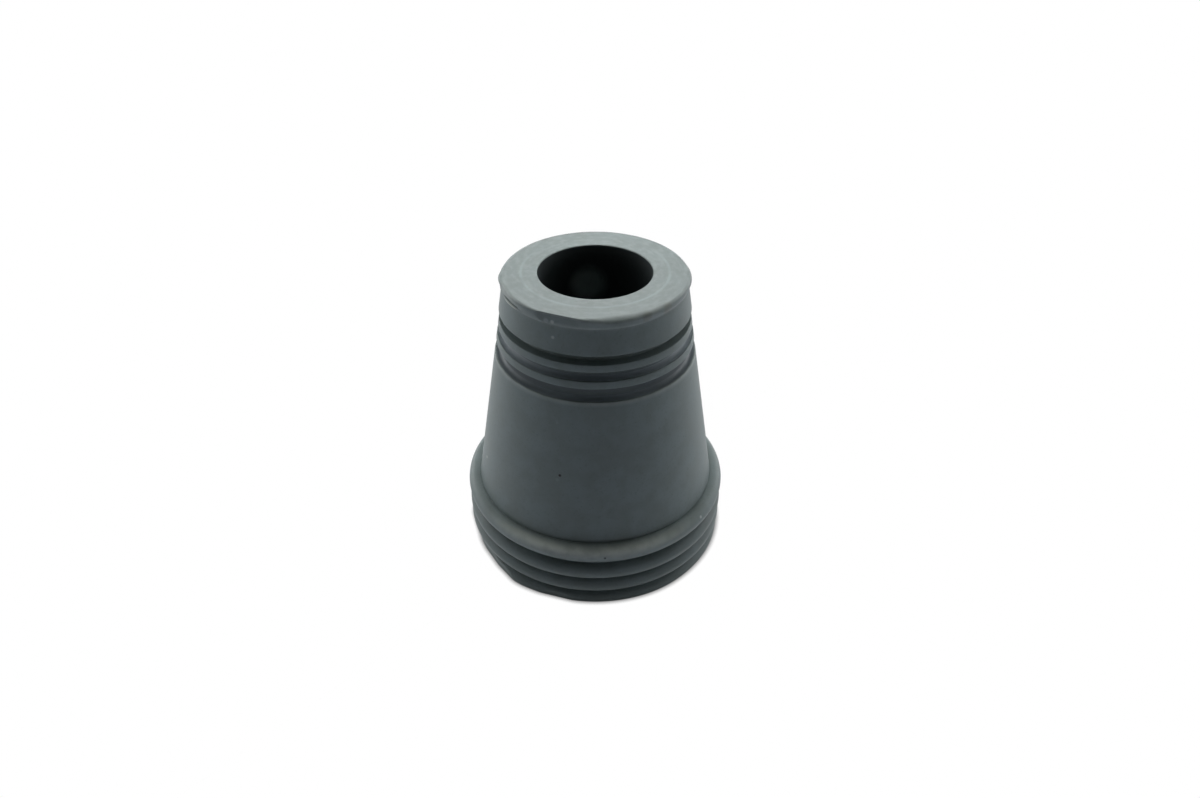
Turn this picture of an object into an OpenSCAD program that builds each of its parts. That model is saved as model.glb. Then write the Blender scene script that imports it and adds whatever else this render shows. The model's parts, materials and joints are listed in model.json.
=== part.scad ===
// Push-on rubber tip for a cane: a conical body round a blind socket, with a
// grooved neck under a plain collar, a ribbed base and a ringed sole.
// The tip stands on its sole at z = 0, on the Z axis. Sizes are in millimetres.

/* [Socket] */
// Bore of the socket that grips the cane's shaft
bore_d = 19; // [16:0.5:22]
// Depth of the socket, from the mouth to its floor
socket_depth = 40; // [30:1:44]
// Radius on the edge of the socket's mouth
mouth_edge_r = 0.4; // [0.2:0.1:0.8]

/* [Body] */
// Height from the sole to the mouth
height = 53; // [50:1:65]
// Rubber between the bore and the cone's surface, at the mouth
mouth_wall = 5.4; // [5:0.2:8]
// How far the bead of the base stands out from the cone's foot
bead_ledge = 2; // [1:0.2:3]

/* [Rim] */
// Height of the rim's lip, from the mouth down to the mould's parting line
lip_h = 1.8; // [1.6:0.1:3]
// How far the lip stands out from the collar at the parting line
lip_ledge = 0.25; // [0.1:0.05:0.6]
// Radius on the lip's upper edge
lip_edge_r = 0.7; // [0.4:0.1:1.2]
// Radius on the lip's lower edge, at the parting line
parting_edge_r = 0.2; // [0.1:0.05:0.3]
// Distance from the bore to the fine moulded ring on the mouth's face
witness_inset = 2.9; // [2:0.1:3]
// Height of that ring above the face
witness_h = 0.15; // [0.05:0.05:0.25]
// Section radius of that ring
witness_r = 0.3; // [0.3:0.05:0.5]

/* [Neck grooves] */
// Height of the plain collar between the mouth and the first groove
collar_h = 6.4; // [4:0.2:10]
// How far the collar stands out from the cone's surface
collar_ledge = 0.2; // [0:0.05:0.5]
// Number of grooves round the neck
groove_count = 3; // [1:1:5]
// Height of each groove
groove_h = 1.5; // [1:0.1:2]
// Height of the ring left between two grooves
ring_h = 1.3; // [1:0.1:2]
// Depth of each groove below the cone's surface
groove_depth = 1.3; // [0.5:0.1:2]
// Added height of the last groove, where the cone begins
last_groove_extra = 0.6; // [0:0.1:1]
// Radius on the edges of the collar, the rings and the cone
ring_edge_r = 0.3; // [0.1:0.05:0.4]

/* [Ribbed base] */
// Diameter over the ribs
base_d = 48; // [44:1:60]
// Section radius of the bead at the top of the base
bead_r = 1.7; // [1.6:0.1:3]
// Number of ribs below the bead
rib_count = 3; // [2:1:4]
// Section radius of each rib
rib_r = 1.75; // [1.7:0.05:2]
// Distance from one rib to the next
rib_pitch = 3.2; // [2.8:0.1:3.3]
// Distance from the topmost rib to the bead
bead_step = 4; // [3.6:0.1:4.4]
// Height of the lowest rib's centre above the sole
sole_lip_h = 0.4; // [0.2:0.1:0.8]

/* [Ringed sole] */
// Number of grooves round the sole
tread_count = 3; // [1:1:4]
// Width of the plain ring at the edge of the sole
sole_land = 3.4; // [2:0.2:5]
// Width of each sole groove where it opens
tread_w = 2.6; // [2:0.1:3]
// Depth of the sole grooves
tread_depth = 2; // [1:0.1:3]
// Draft of the sole grooves' walls, in degrees
tread_draft = 8; // [2:1:12]
// Diameter of the recess in the middle of the sole
sole_recess_d = 8; // [6:0.5:9]

/* [Hidden] */
$fn = 96;

// How far a cutter runs past the face that it cuts
past = 1;

bore_r = bore_d / 2;
base_r = base_d / 2;
rib_centre_r = base_r - rib_r;
bead_centre_r = base_r - bead_r;
bead_z = sole_lip_h + (rib_count - 1) * rib_pitch + bead_step;

// The cone's surface runs straight from the mouth to the bead's centre height
cone_top_r = bore_r + mouth_wall;
cone_foot_r = base_r - bead_ledge;
cone_slope = (cone_foot_r - cone_top_r) / (height - bead_z);
cone_angle = atan(cone_slope);
function cone_r(z) = cone_foot_r - cone_slope * (z - bead_z);

// Heights of the neck's grooves, counted down from the collar
groove_pitch = groove_h + ring_h;
function groove_top(i) = height - collar_h - i * groove_pitch;
function groove_floor(i) = groove_top(i) - groove_h - (i == groove_count - 1 ? last_groove_extra : 0);
cone_top_z = groove_floor(groove_count - 1);

// The lip round the mouth, above the mould's parting line
parting_z = height - lip_h;
lip_r = cone_r(parting_z) + collar_ledge + lip_ledge;
witness_centre_r = bore_r + witness_inset;

// The sole's grooves are spaced evenly between the middle recess and the plain ring
sole_r = rib_centre_r + sqrt(pow(rib_r, 2) - pow(sole_lip_h, 2));
sole_recess_r = sole_recess_d / 2;
tread_pitch = (sole_r - sole_land - sole_recess_r) / tread_count;
tread_flare = tread_depth * tan(tread_draft);

// Half section of a ring whose outer face follows the cone, with both of its edges rounded
module cone_ring(low, high, ledge = 0) {
    // The way from a rounding's centre to where it touches the ring's face, and how far inside
    // the cone that centre lies
    touch = [cos(cone_angle), sin(cone_angle)];
    inset = ring_edge_r / cos(cone_angle) - ledge;
    low_z = low + ring_edge_r;
    high_z = high - ring_edge_r;
    low_centre = [cone_r(low_z) - inset, low_z];
    high_centre = [cone_r(high_z) - inset, high_z];
    polygon([
        [0, low],
        [low_centre.x, low],
        low_centre,
        low_centre + ring_edge_r * touch,
        high_centre + ring_edge_r * touch,
        high_centre,
        [high_centre.x, high],
        [0, high],
    ]);
    for (centre = [low_centre, high_centre])
        translate(centre)
            circle(ring_edge_r);
}

// Half section of the neck: the core at the bottom of the grooves, and the rings on it
module neck_section() {
    polygon([
        [0, bead_z],
        [cone_r(bead_z) - groove_depth, bead_z],
        [cone_r(parting_z) - groove_depth, parting_z],
        [0, parting_z],
    ]);
    for (i = [1 : 1 : groove_count - 1])
        cone_ring(groove_top(i), groove_floor(i - 1));
}

// Half section of the collar, whose top edge ends inside the rim's lip
module collar_section() {
    cone_ring(groove_top(0), height - lip_edge_r, collar_ledge);
}

// Half section of the rim: a lip with both of its edges rounded, and the fine ring on the
// mouth's face
module rim_section() {
    top_centre = [lip_r - lip_edge_r, height - lip_edge_r];
    parting_centre = [lip_r - parting_edge_r, parting_z + parting_edge_r];
    polygon([
        [0, parting_z],
        [parting_centre.x, parting_z],
        parting_centre,
        [lip_r, parting_centre.y],
        [lip_r, top_centre.y],
        top_centre,
        [top_centre.x, height],
        [0, height],
    ]);
    translate(top_centre)
        circle(lip_edge_r);
    translate(parting_centre)
        circle(parting_edge_r);
    translate([witness_centre_r, height + witness_h - witness_r])
        circle(witness_r);
}

// Half section of the base: round ribs one above the other, and the bead above them
module base_section() {
    square([rib_centre_r, bead_z]);
    for (i = [0 : rib_count - 1])
        translate([rib_centre_r, sole_lip_h + i * rib_pitch])
            circle(rib_r);
    translate([bead_centre_r, bead_z])
        circle(bead_r);
}

// Half section of the socket, with a rounded edge at its mouth
module socket_section() {
    translate([0, height - socket_depth])
        square([bore_r, socket_depth + past]);
    difference() {
        translate([0, height - mouth_edge_r])
            square([bore_r + mouth_edge_r, mouth_edge_r + past]);
        translate([bore_r + mouth_edge_r, height - mouth_edge_r])
            circle(mouth_edge_r);
    }
}

// Half section of the sole's round grooves and middle recess, which narrow as they go up
module tread_section() {
    polygon([
        [0, 0],
        [sole_recess_r, 0],
        [sole_recess_r - tread_flare, tread_depth],
        [0, tread_depth],
    ]);
    for (i = [1 : tread_count]) {
        outer_r = sole_recess_r + i * tread_pitch;
        inner_r = outer_r - tread_w;
        polygon([
            [inner_r, 0],
            [outer_r, 0],
            [outer_r - tread_flare, tread_depth],
            [inner_r + tread_flare, tread_depth],
        ]);
    }
}

module rubber_tip() {
    color("dimgray")
        rotate_extrude()
            difference() {
                union() {
                    base_section();
                    cone_ring(bead_z, cone_top_z);
                    neck_section();
                    collar_section();
                    rim_section();
                }
                socket_section();
                tread_section();
                translate([0, -base_r])
                    square([base_d, base_r]);
            }
}

rubber_tip();
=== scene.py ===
import json
import math

import bpy
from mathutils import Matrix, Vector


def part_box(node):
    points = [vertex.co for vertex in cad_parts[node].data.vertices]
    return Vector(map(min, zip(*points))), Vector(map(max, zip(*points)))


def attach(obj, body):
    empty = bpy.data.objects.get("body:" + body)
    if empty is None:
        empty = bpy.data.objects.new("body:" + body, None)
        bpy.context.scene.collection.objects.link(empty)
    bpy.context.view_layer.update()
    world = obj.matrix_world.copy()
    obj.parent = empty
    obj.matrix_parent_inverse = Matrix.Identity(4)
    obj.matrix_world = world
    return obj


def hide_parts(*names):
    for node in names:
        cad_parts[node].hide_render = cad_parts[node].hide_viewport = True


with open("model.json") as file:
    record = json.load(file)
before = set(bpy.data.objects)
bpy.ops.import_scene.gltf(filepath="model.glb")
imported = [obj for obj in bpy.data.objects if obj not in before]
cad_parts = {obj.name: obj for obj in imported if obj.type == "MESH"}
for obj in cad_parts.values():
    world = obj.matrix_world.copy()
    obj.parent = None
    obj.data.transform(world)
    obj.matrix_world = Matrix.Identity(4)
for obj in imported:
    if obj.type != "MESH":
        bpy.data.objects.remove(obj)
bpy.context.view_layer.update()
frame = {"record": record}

# The tip is one moulding of grey rubber, round all the way: a ringed sole, a ribbed base, a
# plain cone, a grooved neck, and a collar with a lipped rim round a blind socket. It is pressed
# in a mould that parts just under the lip, and the flash there and at the sole is pared off by hand.
MM = 0.001
mounts = {mount["name"]: mount for mount in frame["record"]["mounts"]}
BORE_RADIUS = mounts["shaft_socket"]["dims"]["r_mm"]
BASE_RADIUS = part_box("rubber_tip")[1][0] / MM

# Sizes are in millimetres from here on, first those of the mouth and the socket
HEIGHT = 53.0
SOCKET_FLOOR = 13.0
SOCKET_FLOOR_EDGE = 0.6
MOUTH_EDGE = 0.2

# Ribs and bead of the base, with the angles in degrees where their arcs begin and end
RIB_RADIUS = 1.75
RIB_HEIGHTS = (0.4, 3.6, 6.8)
LOWEST_RIB_START = -12
TOP_RIB_END = 77
BEAD_RADIUS = 1.7
BEAD_HEIGHT = 10.8
BEAD_START = -74
BEAD_END = 108

# Cone, and the top and floor of each groove of the neck
CONE_TOP_RADIUS = 14.9
CONE_FOOT_RADIUS = 22.0
CONE_FOOT_HEIGHT = 12.6
GROOVES = ((46.6, 45.1), (43.8, 42.3), (41.0, 38.78))
GROOVE_DEPTHS = (1.5, 1.15, 1.15)
GROOVE_FLOOR_CORNERS = (0.12, 0.85, 0.85)
GROOVE_TOP_CORNER = 0.12
RING_EDGE = 0.16

# Collar, lip and the fine ring that the mould leaves on the mouth's face
PARTING_HEIGHT = 51.2
PARTING_CORNER = 0.1
PARTING_EDGE = 0.12
FLASH_FOOT = PARTING_HEIGHT - 0.9
COLLAR_LEDGE = 0.2
LIP_LEDGE = 0.25
LIP_EDGE = 0.3
LIP_TOP_WIDTH = 1.6
WITNESS_RADIUS = 12.2
WITNESS_HEIGHT = 0.015
WITNESS_HALF_WIDTH = 0.45
WITNESS_EDGE = 0.12
WITNESS_CORNER = 0.1

# Round grooves of the sole, with how far their walls lean in, and the recess in its middle
TREAD_EDGES = ((6.9, 9.5), (12.4, 15.0), (17.9, 20.5))
TREAD_DEPTH = 2.0
TREAD_LEAN = 0.28
TREAD_CORNER = 0.3
TREAD_EDGE = 0.2
SOLE_RECESS_RADIUS = 4.0
SOLE_EDGE_RADIUS = 23.9


def cone_radius(height):
    """Radius of the cone's surface, and of its straight run on up to the mouth."""
    share = (height - BEAD_HEIGHT) / (HEIGHT - BEAD_HEIGHT)
    return CONE_FOOT_RADIUS + share * (CONE_TOP_RADIUS - CONE_FOOT_RADIUS)


def arc(centre, radius, start, end, steps):
    """Points (radius, height) on an arc, from one angle in degrees to another."""
    angles = [math.radians(start + (end - start) * i / steps) for i in range(steps + 1)]
    return [(centre[0] + radius * math.cos(a), centre[1] + radius * math.sin(a)) for a in angles]


def rounded(corners, steps):
    """Points of a run of corners (radius, height, edge radius), with an arc at each corner."""
    points = []
    for i, (x, y, edge) in enumerate(corners):
        if edge == 0:
            points.append((x, y))
            continue
        before, after = corners[i - 1], corners[i + 1]
        into = math.atan2(before[1] - y, before[0] - x)
        out = math.atan2(after[1] - y, after[0] - x)
        half = ((out - into + math.pi) % math.tau - math.pi) / 2
        reach = edge / abs(math.sin(half))
        centre = (x + reach * math.cos(into + half), y + reach * math.sin(into + half))
        sweep = math.pi - 2 * abs(half)
        first = into + half + math.pi + math.copysign(sweep / 2, half)
        for step in range(steps + 1):
            a = first - math.copysign(sweep * step / steps, half)
            points.append((centre[0] + edge * math.cos(a), centre[1] + edge * math.sin(a)))
    return points


def spaced(points, spacing):
    """The same run of points, with more set between those that lie far apart."""
    run = [points[0]]
    for here in points[1:]:
        last = run[-1]
        cuts = max(1, math.ceil(math.dist(last, here) / spacing))
        for k in range(1, cuts + 1):
            run.append(tuple(a + (b - a) * k / cuts for a, b in zip(last, here)))
    return run


# Half section from the middle of the sole, out and up the outside, over the rim and down the socket
sole = [(0, TREAD_DEPTH, 0), (SOLE_RECESS_RADIUS - TREAD_LEAN, TREAD_DEPTH, TREAD_CORNER)]
sole += [(SOLE_RECESS_RADIUS, 0, TREAD_EDGE)]
for inner, outer in TREAD_EDGES:
    sole += [(inner, 0, TREAD_EDGE), (inner + TREAD_LEAN, TREAD_DEPTH, TREAD_CORNER)]
    sole += [(outer - TREAD_LEAN, TREAD_DEPTH, TREAD_CORNER), (outer, 0, TREAD_EDGE)]
sole += [(SOLE_EDGE_RADIUS, 0, 0)]

half_pitch = (RIB_HEIGHTS[1] - RIB_HEIGHTS[0]) / 2
valley = math.degrees(math.asin(half_pitch / RIB_RADIUS))
base = []
for height in RIB_HEIGHTS:
    low = -valley if height > RIB_HEIGHTS[0] else LOWEST_RIB_START
    high = valley if height < RIB_HEIGHTS[-1] else TOP_RIB_END
    base += arc((BASE_RADIUS - RIB_RADIUS, height), RIB_RADIUS, low, high, steps=14)
base += arc((BASE_RADIUS - BEAD_RADIUS, BEAD_HEIGHT), BEAD_RADIUS, BEAD_START, BEAD_END, steps=20)

# Rows close to an edge keep the shading of the plain surface beside it even
CONE_END = GROOVES[-1][1] - 2 * RING_EDGE
CONE_EDGE_FOOT = CONE_END - 0.6
COLLAR_START = GROOVES[0][0] + 2 * RING_EDGE
neck = [(cone_radius(height), height, 0) for height in (CONE_FOOT_HEIGHT, CONE_EDGE_FOOT, CONE_END)]
for depth, corner, (top, floor) in reversed(list(zip(GROOVE_DEPTHS, GROOVE_FLOOR_CORNERS, GROOVES))):
    neck += [(cone_radius(floor), floor, RING_EDGE)]
    neck += [(cone_radius(floor) - depth, floor, corner)]
    neck += [(cone_radius(top) - depth, top, GROOVE_TOP_CORNER)]
    ledge = COLLAR_LEDGE if top == GROOVES[0][0] else 0
    neck += [(cone_radius(top) + ledge, top, RING_EDGE)]
neck += [(cone_radius(height) + COLLAR_LEDGE, height, 0) for height in (COLLAR_START, FLASH_FOOT)]

parting_radius = cone_radius(PARTING_HEIGHT) + COLLAR_LEDGE
LIP_RADIUS = parting_radius + LIP_LEDGE
LIP_TOP_INNER = LIP_RADIUS - LIP_TOP_WIDTH
rim = [neck[-1], (parting_radius, PARTING_HEIGHT, PARTING_CORNER)]
rim += [(LIP_RADIUS, PARTING_HEIGHT, PARTING_EDGE), (LIP_RADIUS, HEIGHT, LIP_EDGE)]
rim += [(LIP_TOP_INNER, HEIGHT, 0)]

mouth = [rim[-1], (WITNESS_RADIUS + WITNESS_HALF_WIDTH, HEIGHT, WITNESS_CORNER)]
mouth += [(WITNESS_RADIUS, HEIGHT + WITNESS_HEIGHT, WITNESS_EDGE)]
mouth += [(WITNESS_RADIUS - WITNESS_HALF_WIDTH, HEIGHT, WITNESS_CORNER)]
mouth += [(BORE_RADIUS + 2 * MOUTH_EDGE, HEIGHT, 0), (BORE_RADIUS, HEIGHT, MOUTH_EDGE)]
mouth += [(BORE_RADIUS, SOCKET_FLOOR, SOCKET_FLOOR_EDGE), (0, SOCKET_FLOOR, 0)]

# The rim has close rows, because its edge is worn and cut further down
PLAIN_SPACING = 2.5
NECK_SPACING = 3.0
RIM_SPACING = 0.11
section = spaced(rounded(sole, steps=2), PLAIN_SPACING) + base
section += spaced(rounded(neck, steps=5), NECK_SPACING)
section += spaced(rounded(rim, steps=4), RIM_SPACING)[1:]
section += spaced(rounded(mouth, steps=5), PLAIN_SPACING)[1:]


def add_node(tree, kind, inputs=None, **settings):
    """Add a node with its settings, and set or link each named input."""
    made = tree.nodes.new(kind)
    for name, value in settings.items():
        setattr(made, name, value)
    for socket_name, value in (inputs or {}).items():
        if isinstance(value, bpy.types.NodeSocket):
            tree.links.new(value, made.inputs[socket_name])
        else:
            made.inputs[socket_name].default_value = value
    return made


def linear(code):
    """Linear colour, with alpha, of an sRGB hex code."""
    levels = [int(code[i:i + 2], 16) / 255 for i in (1, 3, 5)]
    return [v / 12.92 if v <= 0.04045 else ((v + 0.055) / 1.055) ** 2.4 for v in levels] + [1.0]


# Moulded grey rubber: a dull, even skin with a faint mottle and a fine grain. Edges are paler,
# partly from rubbing and partly as painted highlight, the bead's front has a painted highlight, the
# socket and the groove walls have painted shade, and the small marks of handling stay where they are
# seen, with a painted glint and a painted pool of light among them. The real grain is finer, and is
# drawn as coarse as it needs to show.
MOTTLE_SIZE = 4.0
GRAIN_SIZE = 0.45
GRAIN_DEPTH = 0.03
TRIM_RING_SIZE = 0.8
HIGHLIGHT_AND_RUB_SIZE = 2.0
rubber = bpy.data.materials.new("moulded_grey_rubber")
rubber.use_nodes = True
skin = rubber.node_tree
shader = skin.nodes["Principled BSDF"]
coordinates = add_node(skin, "ShaderNodeTexCoord")
in_mm = add_node(skin, "ShaderNodeVectorMath", {0: coordinates.outputs["Object"], "Scale": 1 / MM},
                 operation="SCALE").outputs[0]
split = add_node(skin, "ShaderNodeSeparateXYZ", {0: in_mm})
level = add_node(skin, "ShaderNodeVectorMath", {0: in_mm, 1: (1, 1, 0)}, operation="MULTIPLY")
reach = add_node(skin, "ShaderNodeVectorMath", {0: level.outputs[0]}, operation="LENGTH").outputs["Value"]
azimuth_angle = add_node(skin, "ShaderNodeMath", {0: split.outputs["Y"], 1: split.outputs["X"]},
                         operation="ARCTAN2").outputs[0]

mottle = add_node(skin, "ShaderNodeTexNoise", {"Vector": in_mm, "Scale": 1 / MOTTLE_SIZE, "Detail": 3})
mottle = mottle.outputs["Fac"]
grain = add_node(skin, "ShaderNodeTexNoise", {"Vector": in_mm, "Scale": 1 / GRAIN_SIZE, "Detail": 2})
grain = grain.outputs["Fac"]
patchy = add_node(skin, "ShaderNodeMapRange", {"Value": mottle, "From Min": 0.3, "From Max": 0.7},
                  interpolation_type="SMOOTHSTEP").outputs["Result"]
colour = add_node(skin, "ShaderNodeMix", {"Factor": patchy, 6: linear("#6b7675"), 7: linear("#727e7e")},
                  data_type="RGBA").outputs[2]
grainy = add_node(skin, "ShaderNodeMapRange",
                  {"Value": grain, "From Min": 0.55, "From Max": 0.75, "To Max": 0.35},
                  interpolation_type="SMOOTHSTEP").outputs["Result"]

# The mouth's face is dusty and has faint rings where it was trimmed
on_face = add_node(skin, "ShaderNodeMapRange",
                   {"Value": split.outputs["Z"], "From Min": HEIGHT - 0.5, "From Max": HEIGHT - 0.1},
                   interpolation_type="SMOOTHSTEP").outputs["Result"]
dusty = add_node(skin, "ShaderNodeMath", {0: on_face, 1: 0.35}, operation="MULTIPLY").outputs[0]
stretched = add_node(skin, "ShaderNodeMath", {0: azimuth_angle, 1: 6.0}, operation="MULTIPLY")
drawn_round = add_node(skin, "ShaderNodeCombineXYZ", {"X": reach, "Y": stretched.outputs[0]})
rings = add_node(skin, "ShaderNodeTexNoise",
                 {"Vector": drawn_round.outputs[0], "Scale": 1 / TRIM_RING_SIZE, "Detail": 3})
rings = add_node(skin, "ShaderNodeMapRange",
                 {"Value": rings.outputs["Fac"], "From Min": 0.4, "From Max": 0.7, "To Max": 0.5},
                 interpolation_type="SMOOTHSTEP")
rings = add_node(skin, "ShaderNodeMath", {0: rings.outputs["Result"], 1: on_face},
                 operation="MULTIPLY").outputs[0]

# The fine ring on the face is paler, in broken stretches, and fades towards the back
offset = add_node(skin, "ShaderNodeMath", {0: reach, 1: WITNESS_RADIUS}, operation="SUBTRACT")
offset = add_node(skin, "ShaderNodeMath", {0: offset.outputs[0]}, operation="ABSOLUTE")
along_ring = add_node(skin, "ShaderNodeMapRange",
                      {"Value": offset.outputs[0], "From Min": 0.05, "From Max": 0.4,
                       "To Min": 1, "To Max": 0}, interpolation_type="SMOOTHSTEP")
broken = add_node(skin, "ShaderNodeMapRange",
                  {"Value": mottle, "From Min": 0.3, "From Max": 0.6, "To Min": 0.2, "To Max": 0.7},
                  interpolation_type="SMOOTHSTEP")
toward_front = add_node(skin, "ShaderNodeMapRange",
                        {"Value": split.outputs["Y"], "From Min": 2.0, "From Max": 9.0,
                         "To Min": 1, "To Max": 0}, interpolation_type="SMOOTHSTEP")
witness = on_face
for limit in (along_ring, broken, toward_front):
    witness = add_node(skin, "ShaderNodeMath", {0: witness, 1: limit.outputs["Result"]},
                       operation="MULTIPLY").outputs[0]

# The bead's front and some edges are paler and greyer than the skin: painted highlight, on the edges partly
# rubbing
highlight_and_rub_share = add_node(skin, "ShaderNodeAttribute", attribute_name="highlight_and_rub")
uneven = add_node(skin, "ShaderNodeTexNoise", {"Vector": in_mm, "Scale": 1 / HIGHLIGHT_AND_RUB_SIZE, "Detail": 4})
uneven = add_node(skin, "ShaderNodeMapRange",
                  {"Value": uneven.outputs["Fac"], "From Min": 0.3, "From Max": 0.6,
                   "To Min": 0.75, "To Max": 1}, interpolation_type="SMOOTHSTEP")
highlight_and_rub_mask = add_node(skin, "ShaderNodeMath", {0: highlight_and_rub_share.outputs["Fac"], 1: uneven.outputs["Result"]},
                  operation="MULTIPLY").outputs[0]

# The walls of the two lower grooves have painted shade, and their upward-facing floors are paler. The
# lowest groove has more painted shade at the sides and is less pale there.
GROOVE_MARGIN = 0.4
FRONT_END = -16.0
SIDE_START = -12.5
surface = add_node(skin, "ShaderNodeMath",
                   {0: split.outputs["Z"], 1: cone_radius(1) - cone_radius(0), 2: cone_radius(0)},
                   operation="MULTIPLY_ADD")
sunk = add_node(skin, "ShaderNodeMath", {0: surface.outputs[0], 1: reach}, operation="SUBTRACT")
in_groove = add_node(skin, "ShaderNodeMapRange",
                     {"Value": sunk.outputs[0], "From Min": 0.15, "From Max": 0.4},
                     interpolation_type="SMOOTHSTEP").outputs["Result"]
groove_limits = (
    (split.outputs["Z"], GROOVES[1][0] + GROOVE_MARGIN, "LESS_THAN"),
    (split.outputs["Z"], GROOVES[2][1] - GROOVE_MARGIN, "GREATER_THAN"),
    (reach, BORE_RADIUS + 1.0, "GREATER_THAN"),
)
for measure, bound, relation in groove_limits:
    within = add_node(skin, "ShaderNodeMath", {0: measure, 1: bound}, operation=relation)
    in_groove = add_node(skin, "ShaderNodeMath", {0: in_groove, 1: within.outputs[0]},
                         operation="MULTIPLY").outputs[0]
lowest = add_node(skin, "ShaderNodeMapRange",
                  {"Value": split.outputs["Z"], "From Min": GROOVES[2][0],
                   "From Max": GROOVES[2][0] + GROOVE_MARGIN, "To Min": 1, "To Max": 0})
sideways = add_node(skin, "ShaderNodeMapRange",
                    {"Value": split.outputs["Y"], "From Min": FRONT_END, "From Max": SIDE_START},
                    interpolation_type="SMOOTHSTEP")
lowest_groove_sides = add_node(skin, "ShaderNodeMath", {0: lowest.outputs["Result"], 1: sideways.outputs["Result"]},
                operation="MULTIPLY").outputs[0]
# painted shade on the walls of the lower grooves
groove_shade = add_node(skin, "ShaderNodeMath", {0: lowest_groove_sides, 1: 0.2, 2: 0.55}, operation="MULTIPLY_ADD").outputs[0]
groove_shade = add_node(skin, "ShaderNodeMath", {0: in_groove, 1: groove_shade}, operation="MULTIPLY").outputs[0]
facing = add_node(skin, "ShaderNodeNewGeometry")
facing = add_node(skin, "ShaderNodeSeparateXYZ", {0: facing.outputs["True Normal"]})
upward = add_node(skin, "ShaderNodeMapRange",
                  {"Value": facing.outputs["Z"], "From Min": 0.15, "From Max": 0.7, "To Max": 0.85},
                  interpolation_type="SMOOTHSTEP").outputs["Result"]
# The upward-facing floors of the lower grooves are paler, less so at the sides of the lowest one
paler_floors = add_node(skin, "ShaderNodeMath", {0: lowest_groove_sides, 1: -0.65, 2: 1.0}, operation="MULTIPLY_ADD").outputs[0]
for limit in (upward, in_groove):
    paler_floors = add_node(skin, "ShaderNodeMath", {0: paler_floors, 1: limit}, operation="MULTIPLY").outputs[0]

# The ribs below the bead are a little darker than the cone
RIBS_DARK_FADE = 8.4
RIBS_DARK_END = 9.4
ribs_darker = add_node(skin, "ShaderNodeMapRange",
                 {"Value": split.outputs["Z"], "From Min": RIBS_DARK_FADE, "From Max": RIBS_DARK_END,
                  "To Min": 0.25, "To Max": 0}, interpolation_type="SMOOTHSTEP").outputs["Result"]

# Painted shade makes the socket's wall darker than the skin from its mouth down to its floor
inside = add_node(skin, "ShaderNodeMapRange",
                  {"Value": reach, "From Min": BORE_RADIUS, "From Max": BORE_RADIUS + 0.15,
                   "To Min": 1, "To Max": 0}, interpolation_type="SMOOTHSTEP")
below = add_node(skin, "ShaderNodeMapRange",
                 {"Value": split.outputs["Z"], "From Min": HEIGHT - 0.3, "From Max": HEIGHT - 0.1,
                  "To Min": 1, "To Max": 0}, interpolation_type="SMOOTHSTEP")
above_sole = add_node(skin, "ShaderNodeMapRange",
                      {"Value": split.outputs["Z"], "From Min": SOCKET_FLOOR - 2.0,
                       "From Max": SOCKET_FLOOR - 1.0}, interpolation_type="SMOOTHSTEP")
socket_shade = inside.outputs["Result"]
for limit in (below, above_sole):
    socket_shade = add_node(skin, "ShaderNodeMath", {0: socket_shade, 1: limit.outputs["Result"]},
                         operation="MULTIPLY").outputs[0]

# Small marks, among them a painted glint and a painted pool of light: azimuth, height, distance from
# the axis, half width in millimetres, colour, strength
MARKS = (
    (-107.3, 25.0, 19.6, 0.26, "#0a0c0c", 0.95),
    (-108.5, 24.1, 19.75, 0.35, "#7c8986", 0.5),
    # a painted glint on the cone's left edge
    (-161.3, 18.9, 20.65, 0.30, "#a7b0a6", 0.8),
    (-114.8, 51.6, 15.65, 0.35, "#a5aead", 0.75),
    (-118.6, 51.6, 15.65, 0.45, "#8b9695", 0.7),
    (-114.3, 49.05, 15.76, 0.28, "#a0aaa9", 0.65),
    (-109.9, 34.6, 18.0, 0.25, "#7d8988", 0.5),
    (-37.7, 11.6, 23.8, 0.30, "#a9b3ad", 0.7),
    (-86.0, 10.95, 24.0, 0.22, "#2c3131", 0.8),
    (-60.0, 52.2, 15.8, 0.9, "#6c6a60", 0.35),
    (-45.0, 52.1, 15.75, 1.0, "#6c6a60", 0.4),
    # a painted pool of light on the socket's far wall
    (98.0, 45.6, 9.5, 3.2, "#a9b2b0", 0.8),
)
layers = [
    (grainy, "#5d6766"),
    (dusty, "#7b7f7e"),
    (rings, "#848d8b"),
    (witness, "#84918f"),
    # painted highlight on the bead and edges, on the edges partly rubbing
    (highlight_and_rub_mask, "#c6cec6"),
    # painted shade in the grooves
    (groove_shade, "#343d44"),
    (paler_floors, "#949fa6"),
    (ribs_darker, "#4a5452"),
    # painted shade in the socket
    (socket_shade, "#343a3b"),
]
for turned_to, height, distance, half_width, mark_colour, strength in MARKS:
    angle = math.radians(turned_to)
    spot = (distance * math.cos(angle), distance * math.sin(angle), height)
    away = add_node(skin, "ShaderNodeVectorMath", {0: in_mm, 1: spot}, operation="DISTANCE").outputs["Value"]
    near = add_node(skin, "ShaderNodeMapRange",
                    {"Value": away, "From Min": 0.5 * half_width, "From Max": 1.3 * half_width,
                     "To Min": strength, "To Max": 0}, interpolation_type="SMOOTHSTEP").outputs["Result"]
    layers.append((near, mark_colour))
for share, layer_colour in layers:
    colour = add_node(skin, "ShaderNodeMix", {"Factor": share, 6: colour, 7: linear(layer_colour)},
                      data_type="RGBA").outputs[2]

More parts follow.
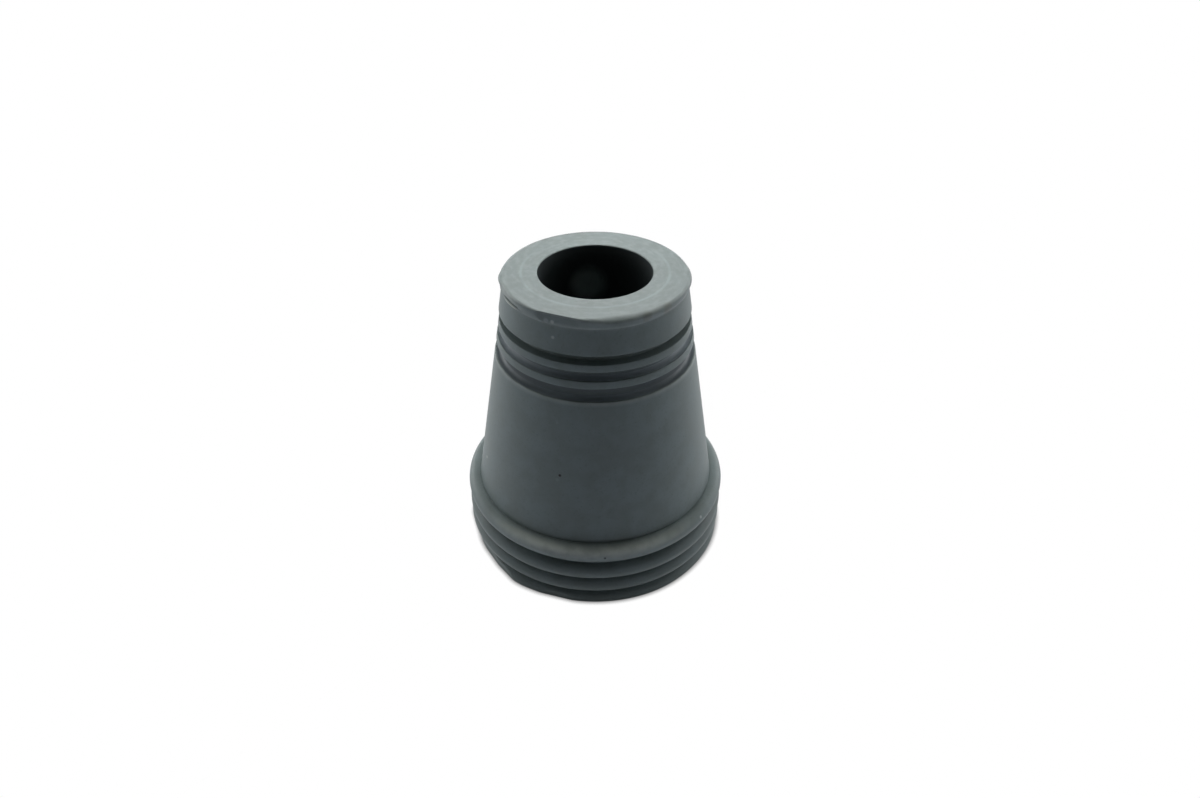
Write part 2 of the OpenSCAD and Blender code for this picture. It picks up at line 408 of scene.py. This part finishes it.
dullness = add_node(skin, "ShaderNodeMapRange",
                    {"Value": mottle, "From Min": 0.3, "From Max": 0.7, "To Min": 0.42, "To Max": 0.52})
relief = add_node(skin, "ShaderNodeBump", {"Height": grain, "Strength": 0.25, "Distance": GRAIN_DEPTH * MM})
skin.links.new(colour, shader.inputs["Base Color"])
skin.links.new(dullness.outputs["Result"], shader.inputs["Roughness"])
skin.links.new(relief.outputs["Normal"], shader.inputs["Normal"])
shader.inputs["Specular IOR Level"].default_value = 0.2

# The half section is turned round the axis: each row of a grid takes the place of one of its points
STEPS_ROUND = 300
turning = bpy.data.node_groups.new("turned_moulding", "GeometryNodeTree")
turning.interface.new_socket("Half section", in_out="INPUT", socket_type="NodeSocketGeometry")
steps_input = turning.interface.new_socket("Steps round", in_out="INPUT", socket_type="NodeSocketInt")
rubber_input = turning.interface.new_socket("Rubber", in_out="INPUT", socket_type="NodeSocketMaterial")
turning.interface.new_socket("Geometry", in_out="OUTPUT", socket_type="NodeSocketGeometry")
given = add_node(turning, "NodeGroupInput")
counted = add_node(turning, "GeometryNodeAttributeDomainSize", {"Geometry": given.outputs["Half section"]})
columns = add_node(turning, "ShaderNodeMath", {0: given.outputs["Steps round"], 1: 1}, operation="ADD")
grid = add_node(turning, "GeometryNodeMeshGrid",
                {"Size X": 1, "Size Y": 1, "Vertices X": columns.outputs[0],
                 "Vertices Y": counted.outputs["Point Count"]})
place = add_node(turning, "GeometryNodeInputPosition")
spread_out = add_node(turning, "ShaderNodeSeparateXYZ", {0: place.outputs[0]})
turn = add_node(turning, "ShaderNodeMath", {0: spread_out.outputs["X"], 1: math.tau, 2: -math.pi / 2},
                operation="MULTIPLY_ADD")
last_row = add_node(turning, "ShaderNodeMath", {0: counted.outputs["Point Count"], 1: 1},
                    operation="SUBTRACT")
along = add_node(turning, "ShaderNodeMath", {0: spread_out.outputs["Y"], 1: 0.5}, operation="ADD")
row = add_node(turning, "ShaderNodeMath", {0: along.outputs[0], 1: last_row.outputs[0], 2: 0.5},
               operation="MULTIPLY_ADD")
row = add_node(turning, "ShaderNodeMath", {0: row.outputs[0]}, operation="FLOOR")
point = add_node(turning, "GeometryNodeSampleIndex",
                 {"Geometry": given.outputs["Half section"], "Value": place.outputs[0],
                  "Index": row.outputs[0]}, data_type="FLOAT_VECTOR", domain="POINT")
around = add_node(turning, "ShaderNodeVectorRotate", {"Vector": point.outputs[0], "Angle": turn.outputs[0]},
                  rotation_type="Z_AXIS")
turned = add_node(turning, "GeometryNodeSetPosition",
                  {"Geometry": grid.outputs["Mesh"], "Position": around.outputs[0]})
closed = add_node(turning, "GeometryNodeMergeByDistance", {"Geometry": turned.outputs[0], "Distance": 1e-6})
realized = add_node(turning, "GeometryNodeRealizeInstances", {"Geometry": closed.outputs[0]})
dressed = add_node(turning, "GeometryNodeSetMaterial",
                   {"Geometry": realized.outputs[0], "Material": given.outputs["Rubber"]})
add_node(turning, "NodeGroupOutput", {"Geometry": dressed.outputs[0]})

outline = bpy.data.meshes.new("half_section")
outline.from_pydata([(r * MM, 0, z * MM) for r, z in section], [], [])
blank = bpy.data.objects.new("rubber_moulding", outline)
bpy.context.collection.objects.link(blank)
turner = blank.modifiers.new("turning", "NODES")
turner.node_group = turning
turner[steps_input.identifier] = STEPS_ROUND
turner[rubber_input.identifier] = rubber
evaluated = blank.evaluated_get(bpy.context.evaluated_depsgraph_get())
moulding = bpy.data.meshes.new_from_object(evaluated)
blank.modifiers.clear()
blank.data = moulding

# Azimuths are in degrees from +X towards +Y, so the viewer is at -90 and the viewer's left at 180
# Radius on the lip's upper edge by azimuth: crisp along the knife's cut, and worn elsewhere
EDGE_WEAR = ((-180, 0.8), (-172, 0.45), (-150, 0.5), (-135, 0.4), (-127, 0.25), (-100, 0.3), (-90, 0.65),
             (-80, 1.2), (-65, 0.95), (-50, 0.7), (-30, 0.45), (-10, 0.5), (15, 1.1), (165, 1.1), (180, 0.8))
# Bulges and dips of the lip, then the torn slit in it and the slit's lower edge, and last the flash
# and the trimmed side of the sole: azimuth, spread in degrees, height, thickness, how far out
SWELLS = (
    (-173, 7, 52.6, 0.5, 0.2),
    (-90, 60, 52.4, 1.0, 0.26),
    (-158, 8, 52.7, 0.8, -0.15),
    (-2, 12, 52.0, 0.55, 0.15),
    (-25, 34, 51.4, 0.35, -0.2),
    (-148, 8, 51.7, 0.14, -0.6),
    (-148, 9, 51.34, 0.14, 0.14),
    (-128, 8, 0.3, 1.2, 0.16),
    (-28, 26, 0.6, 1.4, -0.2),
)
# Flats left by the knife on the lip and round the sole: azimuth, distance from the axis at the
# mouth's height, how far it leans out for each millimetre down, lowest and highest point
FLATS = (
    (-112, 15.42, 0.06, 51.45, 53.5),
    (-112, 15.5, 0, 50.9, 51.45),
    (-163, 23.2, 0, -1.0, 1.9),
    (-155, 23.28, 0, -1.0, 1.9),
    (-148, 23.25, 0, -1.0, 1.9),
    (-141, 23.5, 0, -1.0, 1.9),
    (-107, 23.77, 0, -1.0, 1.9),
)
# Edges paler by painted highlight and partly by rubbing: radius, height, width, how far, and the
# azimuth and spread of the paler part
cone_edge = GROOVES[-1][1] - RING_EDGE
HIGHLIT_AND_RUBBED_EDGES = (
    (cone_radius(cone_edge), cone_edge, 0.35, 0.2, -90, 400),
    (LIP_RADIUS, PARTING_HEIGHT, 0.35, 0.18, -95, 38),
    (LIP_RADIUS, HEIGHT - 0.4, 0.5, 0.26, -69, 26),
    (LIP_RADIUS, HEIGHT - 0.8, 0.6, 0.33, -155, 16),
    (LIP_RADIUS, PARTING_HEIGHT + 0.14, 0.16, 0.9, -149, 8),
)
# A painted highlight lies along a band of the bead's front: the band's azimuth, how far from it the
# highlight begins to fade and ends, and the slope at which it is strongest and how wide it is, in degrees
BEAD_HIGHLIGHT_AZIMUTH = -93
BEAD_HIGHLIGHT_FADE = (14, 58)
BEAD_HIGHLIGHT_SLOPE = 43
BEAD_HIGHLIGHT_WIDTH = 32
# A point is on the bead if it lies this close to its arc, and no further in than its inner end
BEAD_MARGIN = 0.05
BEAD_INNER_END = -0.6


def apart(azimuth, other):
    """Degrees between two azimuths, the short way round."""
    return abs((azimuth - other + 180) % 360 - 180)


def smooth(low, high, value):
    """0 below low, 1 above high, and a smooth step between them."""
    share = min(1, max(0, (value - low) / (high - low)))
    return share * share * (3 - 2 * share)


def worn(radius, height, azimuth):
    """Round the lip's upper edge over, as far as it is worn there."""
    for (start, edge_before), (end, edge_after) in zip(EDGE_WEAR, EDGE_WEAR[1:]):
        if start <= azimuth <= end:
            edge = edge_before + (edge_after - edge_before) * smooth(start, end, azimuth)
    out, up = radius - (LIP_RADIUS - edge), height - (HEIGHT - edge)
    distance = math.hypot(out, up)
    if out > 0 and up > 0 and distance > edge:
        radius += out * (edge / distance - 1)
        height += up * (edge / distance - 1)
    return radius, height


def swollen(radius, height, azimuth):
    """Push the surface out or in by the bulges and dips that reach it."""
    for centre, spread, middle, thickness, amount in SWELLS:
        across = apart(azimuth, centre) / spread
        level = (height - middle) / thickness
        radius += amount * math.exp(-across ** 4 - level ** 2)
    return radius


def pared(radius, height, azimuth):
    """Cut the surface back to each flat that the knife left."""
    for centre, top_distance, lean, low, high in FLATS:
        turned_by = math.cos(math.radians(apart(azimuth, centre)))
        distance = top_distance + lean * (HEIGHT - height)
        if low < height < high and radius * turned_by > distance:
            radius = distance / turned_by
    return radius


def highlit_and_rubbed(radius, height, azimuth):
    """How far the skin is paler, from 0 to 1: painted highlight, and on edges partly rubbing."""
    out, up = radius - (BASE_RADIUS - BEAD_RADIUS), height - BEAD_HEIGHT
    if abs(math.hypot(out, up) - BEAD_RADIUS) < BEAD_MARGIN and out > BEAD_INNER_END:
        slope = math.degrees(math.atan2(up, out))
        at_front = 1 - smooth(*BEAD_HIGHLIGHT_FADE, apart(azimuth, BEAD_HIGHLIGHT_AZIMUTH))
        return at_front * math.exp(-((slope - BEAD_HIGHLIGHT_SLOPE) / BEAD_HIGHLIGHT_WIDTH) ** 2)
    most = 0
    for *edge, width, amount, centre, spread in HIGHLIT_AND_RUBBED_EDGES:
        away = math.dist((radius, height), edge) / width
        across = apart(azimuth, centre) / spread
        most = max(most, amount * math.exp(-away ** 2 - across ** 4))
    return most


# The socket and the middle of the mouth's face and of the sole are left as they were turned
TURNED_RADIUS = WITNESS_RADIUS + 1
SHARP_ANGLE = 40
# Each point's share of the paler skin: painted highlight, and on edges partly rubbing
highlight_and_rub = [0.0] * len(moulding.vertices)
for vertex in moulding.vertices:
    x, y, height = vertex.co / MM
    radius = math.hypot(x, y)
    if radius < TURNED_RADIUS:
        continue
    azimuth = math.degrees(math.atan2(y, x))
    highlight_and_rub[vertex.index] = highlit_and_rubbed(radius, height, azimuth)
    new_radius, new_height = worn(radius, height, azimuth)
    new_radius = pared(swollen(new_radius, new_height, azimuth), new_height, azimuth)
    share = new_radius / radius * MM
    vertex.co = (x * share, y * share, new_height * MM)

moulding.attributes.new("highlight_and_rub", "FLOAT", "POINT").data.foreach_set("value", highlight_and_rub)
for polygon in moulding.polygons:
    polygon.use_smooth = True
moulding.set_sharp_from_angle(angle=math.radians(SHARP_ANGLE))
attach(blank, "root")
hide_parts("rubber_tip")

# The floor is a sheet of white paper. It lights the rubber from below as lit paper does, and is
# plain white to the eye and in reflections, with the soft shadow where the sole meets it.
FLOOR_REACH = 2.0
CONTACT_SHADOW = 0.9 * MM
SHADOW_STRENGTH = 1.7
corners = [(-FLOOR_REACH, -FLOOR_REACH, 0), (FLOOR_REACH, -FLOOR_REACH, 0),
           (FLOOR_REACH, FLOOR_REACH, 0), (-FLOOR_REACH, FLOOR_REACH, 0)]
floor_mesh = bpy.data.meshes.new("floor")
floor_mesh.from_pydata(corners, [], [(0, 1, 2, 3)])
floor = bpy.data.objects.new("floor", floor_mesh)
bpy.context.collection.objects.link(floor)
paper = bpy.data.materials.new("white_paper")
paper.use_nodes = True
sheet = paper.node_tree
sheet.nodes.clear()
ray = add_node(sheet, "ShaderNodeLightPath")
seen = add_node(sheet, "ShaderNodeMath", {0: ray.outputs["Is Camera Ray"], 1: ray.outputs["Is Glossy Ray"]},
                operation="MAXIMUM")
seen = add_node(sheet, "ShaderNodeMath", {0: seen.outputs[0], 1: ray.outputs["Is Transmission Ray"]},
                operation="MAXIMUM")
nearby = add_node(sheet, "ShaderNodeAmbientOcclusion", {"Distance": CONTACT_SHADOW}, samples=16)
shadow = add_node(sheet, "ShaderNodeMath", {0: nearby.outputs["AO"], 1: SHADOW_STRENGTH}, operation="POWER")
white = add_node(sheet, "ShaderNodeEmission", {"Color": linear("#ffffff"), "Strength": shadow.outputs[0]})
matt = add_node(sheet, "ShaderNodeBsdfDiffuse", {"Color": linear("#e3e7f6")})
mixed = add_node(sheet, "ShaderNodeMixShader", {0: seen.outputs[0], 1: matt.outputs[0], 2: white.outputs[0]})
add_node(sheet, "ShaderNodeOutputMaterial", {"Surface": mixed.outputs[0]})
floor_mesh.materials.append(paper)

# The room is white to the eye all round. Reflections see a white backdrop that rises a little way
# above the floor, and a dim room over it, and the room gives almost no light of its own.
BACKDROP_FADE = math.sin(math.radians(5))
BACKDROP_TOP = math.sin(math.radians(25))
ROOM_LIGHT = 0.005
world = bpy.data.worlds.new("studio")
bpy.context.scene.world = world
world.use_nodes = True
room = world.node_tree
room.nodes.clear()
ray = add_node(room, "ShaderNodeLightPath")
heading = add_node(room, "ShaderNodeTexCoord")
heading = add_node(room, "ShaderNodeSeparateXYZ", {0: heading.outputs["Generated"]})
backdrop = add_node(room, "ShaderNodeMapRange",
                    {"Value": heading.outputs["Z"], "From Min": BACKDROP_FADE, "From Max": BACKDROP_TOP,
                     "To Min": 1.0, "To Max": 0.0})
mirrored = add_node(room, "ShaderNodeMath",
                    {0: ray.outputs["Is Glossy Ray"], 1: ray.outputs["Is Transmission Ray"]},
                    operation="MAXIMUM")
mirrored = add_node(room, "ShaderNodeMath", {0: mirrored.outputs[0], 1: backdrop.outputs[0]},
                    operation="MULTIPLY")
seen = add_node(room, "ShaderNodeMath", {0: ray.outputs["Is Camera Ray"], 1: mirrored.outputs[0]},
                operation="MAXIMUM")
dim = add_node(room, "ShaderNodeBackground", {"Color": linear("#ffffff"), "Strength": ROOM_LIGHT})
white = add_node(room, "ShaderNodeBackground", {"Color": linear("#ffffff"), "Strength": 1.0})
mixed = add_node(room, "ShaderNodeMixShader", {0: seen.outputs[0], 1: dim.outputs[0], 2: white.outputs[0]})
add_node(room, "ShaderNodeOutputWorld", {"Surface": mixed.outputs[0]})

# Soft square panels stand behind the tip and beside it, and a small one hangs close over its mouth.
# Each has a name, azimuths (a pair stands left and right) and elevation in degrees, then its
# distance, width and the height it is aimed at in metres, and its brightness.
PANELS = (
    ("over_mouth", (90,), 64, 0.08, 0.058, 0.053, 7.9),
    ("back", (90,), 52, 0.6, 0.255, 0.03, 1.8),
    ("back_high", (65, 115), 52, 0.6, 0.255, 0.03, 0.7),
    ("corner_high", (40, 140), 52, 0.6, 0.255, 0.03, 1.7),
    ("overhead", (90,), 74, 0.6, 0.255, 0.03, 1.0),
    ("corner_low", (40, 140), 10, 0.6, 0.255, 0.03, 5.0),
    ("side_low", (15, 165), 10, 0.6, 0.255, 0.03, 2.7),
    ("side_high", (15, 165), 52, 0.6, 0.255, 0.03, 0.4),
    ("side_front", (-10, 190), 10, 0.6, 0.255, 0.03, 0.9),
)
for name, azimuths, elevation, distance, width, aim, brightness in PANELS:
    for azimuth in azimuths:
        panel_data = bpy.data.lights.new(name, "AREA")
        panel_data.shape = "SQUARE"
        panel_data.size = width
        panel_data.energy = brightness * math.pi * width ** 2
        panel = bpy.data.objects.new(name, panel_data)
        turned_to, lift = math.radians(azimuth), math.radians(elevation)
        level_reach = distance * math.cos(lift)
        panel.location = (level_reach * math.cos(turned_to), level_reach * math.sin(turned_to),
                          aim + distance * math.sin(lift))
        panel.rotation_euler = (0, math.pi / 2 - lift, turned_to)
        bpy.context.collection.objects.link(panel)

# The camera is close to the tip and looks down on it, as in the photograph. Its place is in metres,
# and the tip's axis stands a little to the left of the picture's middle.
IMAGE_WIDTH = 1200
FOCAL_PIXELS = 851.7
AXIS_PIXEL = 595.2
CAMERA_PLACE = (0, -0.1251, 0.1177)
CAMERA_PITCH = 35.94
camera_data = bpy.data.cameras.new("camera")
camera_data.sensor_width = 36.0
camera_data.lens = camera_data.sensor_width * FOCAL_PIXELS / IMAGE_WIDTH
camera_data.shift_x = (IMAGE_WIDTH / 2 - AXIS_PIXEL) / IMAGE_WIDTH
camera = bpy.data.objects.new("camera", camera_data)
camera.location = CAMERA_PLACE
camera.rotation_euler = (math.radians(90 - CAMERA_PITCH), 0, 0)
bpy.context.collection.objects.link(camera)
scene = bpy.context.scene
scene.camera = camera
scene.view_settings.view_transform = "Standard"
